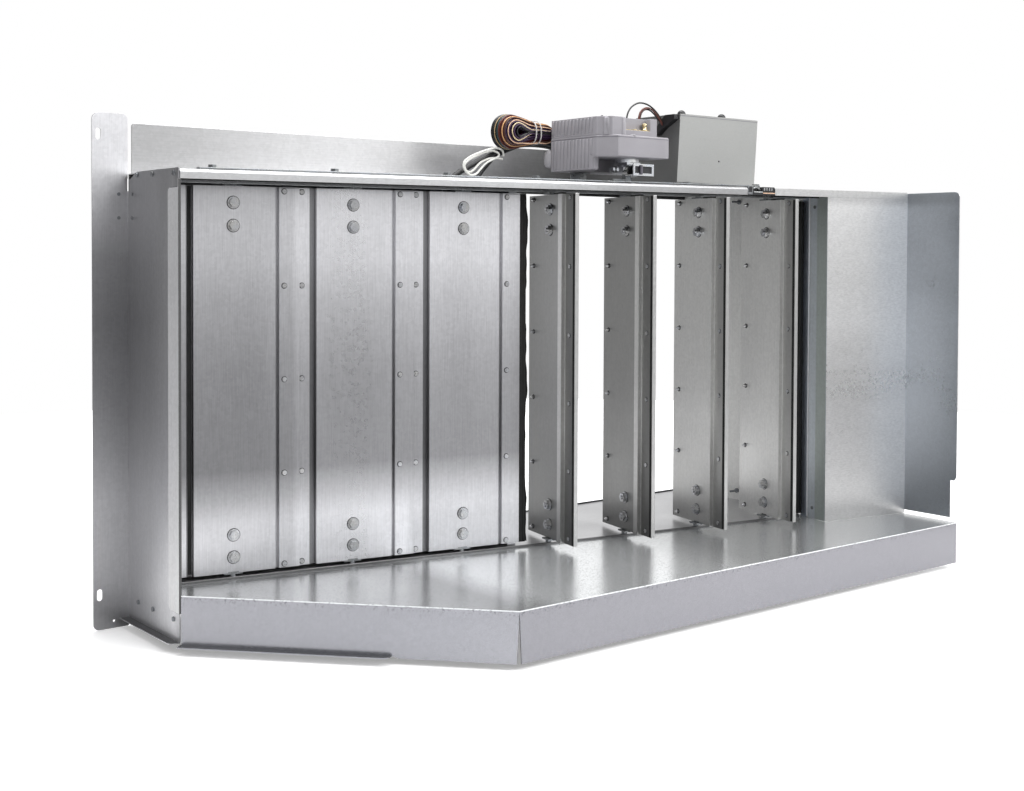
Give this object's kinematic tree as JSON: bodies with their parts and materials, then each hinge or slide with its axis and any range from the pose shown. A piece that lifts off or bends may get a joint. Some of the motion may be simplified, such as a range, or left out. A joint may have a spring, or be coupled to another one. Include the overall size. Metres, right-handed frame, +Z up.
{
  "type": "rooftop_unit_economizer",
  "caption": "Rooftop unit economizer: folded galvanised frame with return-air and outside-air damper blades on one link bar, direct-coupled actuator, control box and drip pan",
  "frame": {"origin": "Centre of the bounding box in plan, at the lowest point of the mounting flanges", "axes": "+X along the rear mounting plane to the right as seen from the front, +Y to the rear through the mounting plane, +Z up along the blade pivots"},
  "size_m": [1.1834, 0.4536, 0.6987],
  "materials": {
    "galvanised_satin": "galvanised sheet, fine spangle, satin",
    "galvanised_bright": "galvanised sheet, fine spangle, bright rolling grain",
    "galvanised_grey": "galvanised sheet, bluish grey",
    "galvanised_mirror": "galvanised sheet, glossy skin-passed face",
    "blade_bright": "galvanised blade, fine rolling grain",
    "blade_grey": "galvanised blade, mid grey satin",
    "zinc_hardware": "zinc-plated steel",
    "zinc_bright": "bright zinc-plated stampings",
    "seal_rubber": "extruded black seal",
    "lilac_plastic": "moulded lilac-grey plastic",
    "box_paint": "matte light grey paint",
    "black_plastic": "moulded black plastic",
    "black_sleeving": "black sleeving",
    "white_lead": "white PVC insulation",
    "lead_colours": "PVC insulation, mixed colours"
  },
  "bodies": {
    "frame": {"side_panel": "galvanised_satin", "back_plate": "galvanised_satin", "top_panel": "galvanised_bright", "duct_floor": "galvanised_satin", "left_jamb": "galvanised_bright", "divider": "galvanised_satin", "right_wall": "galvanised_bright", "right_jamb": "galvanised_grey", "closure_panel": "galvanised_bright", "bottom_pan": "galvanised_mirror", "jamb_gaskets": "seal_rubber", "frame_screws": "zinc_hardware", "actuator_body": "lilac_plastic", "actuator_cover": "lilac_plastic", "actuator_foot": "zinc_hardware", "control_box": "box_paint", "box_plugs": "black_plastic", "box_gland": "black_plastic", "wire_hank": "lead_colours", "wire_sleeves": "black_sleeving", "white_lead": "white_lead", "box_leads": "lead_colours", "rail_socket": "black_plastic"},
    "ra1": {"ra1_skin": "blade_bright", "ra1_strip": "galvanised_satin", "ra1_seal": "seal_rubber", "ra1_stubs": "zinc_hardware", "ra1_bolts": "zinc_hardware"},
    "ra2": {"ra2_skin": "blade_bright", "ra2_strip": "galvanised_satin", "ra2_seal": "seal_rubber", "ra2_stubs": "zinc_hardware", "ra2_bolts": "zinc_hardware"},
    "ra3": {"ra3_skin": "blade_bright", "ra3_strip": "galvanised_satin", "ra3_seal": "seal_rubber", "ra3_stubs": "zinc_hardware", "ra3_bolts": "zinc_hardware"},
    "oa1": {"oa1_skin": "blade_grey", "oa1_strip": "galvanised_satin", "oa1_seal": "seal_rubber", "oa1_stubs": "zinc_hardware", "oa1_bolts": "zinc_hardware"},
    "oa2": {"oa2_skin": "blade_grey", "oa2_strip": "galvanised_satin", "oa2_seal": "seal_rubber", "oa2_stubs": "zinc_hardware", "oa2_bolts": "zinc_hardware", "shaft_clamp": "zinc_bright"},
    "oa3": {"oa3_skin": "blade_grey", "oa3_strip": "galvanised_satin", "oa3_seal": "seal_rubber", "oa3_stubs": "zinc_hardware", "oa3_bolts": "zinc_hardware"},
    "oa4": {"oa4_skin": "blade_grey", "oa4_strip": "galvanised_satin", "oa4_seal": "seal_rubber", "oa4_stubs": "zinc_hardware", "oa4_bolts": "zinc_hardware"},
    "link": {"link_bar": "galvanised_satin"}
  },
  "joints": [
    {"name": "oa2_turn", "type": "hinge", "parent": "frame", "child": "oa2", "pos_m": [0.11877, 0.01267, 0.3185], "axis": [0, 0, 1], "range_deg": [-88, 0]},
    {"name": "ra1_turn", "type": "hinge", "parent": "frame", "child": "ra1", "pos_m": [-0.45433, 0.1163, 0.3185], "axis": [0, 0, 1], "range_deg": [-88, 0]},
    {"name": "ra2_turn", "type": "hinge", "parent": "frame", "child": "ra2", "pos_m": [-0.29738, 0.08792, 0.3185], "axis": [0, 0, 1], "range_deg": [-88, 0]},
    {"name": "ra3_turn", "type": "hinge", "parent": "frame", "child": "ra3", "pos_m": [-0.14042, 0.05954, 0.3185], "axis": [0, 0, 1], "range_deg": [-88, 0]},
    {"name": "oa1_turn", "type": "hinge", "parent": "frame", "child": "oa1", "pos_m": [-0.0062, 0.03527, 0.3185], "axis": [0, 0, 1], "range_deg": [-88, 0]},
    {"name": "oa3_turn", "type": "hinge", "parent": "frame", "child": "oa3", "pos_m": [0.24375, -0.00993, 0.3185], "axis": [0, 0, 1], "range_deg": [-88, 0]},
    {"name": "oa4_turn", "type": "hinge", "parent": "frame", "child": "oa4", "pos_m": [0.36872, -0.03253, 0.3185], "axis": [0, 0, 1], "range_deg": [-88, 0]},
    {"name": "link_swing", "type": "hinge", "parent": "oa2", "child": "link", "pos_m": [0.08921, 0.00759, 0.5807], "axis": [0, 0, 1], "range_deg": [0, 88]}
  ],
  "couplings": [
    {"joint": "ra1_turn", "follows": "oa2_turn", "ratio": 1},
    {"joint": "ra2_turn", "follows": "oa2_turn", "ratio": 1},
    {"joint": "ra3_turn", "follows": "oa2_turn", "ratio": 1},
    {"joint": "oa1_turn", "follows": "oa2_turn", "ratio": 1},
    {"joint": "oa3_turn", "follows": "oa2_turn", "ratio": 1},
    {"joint": "oa4_turn", "follows": "oa2_turn", "ratio": 1},
    {"joint": "link_swing", "follows": "oa2_turn", "ratio": -1}
  ]
}
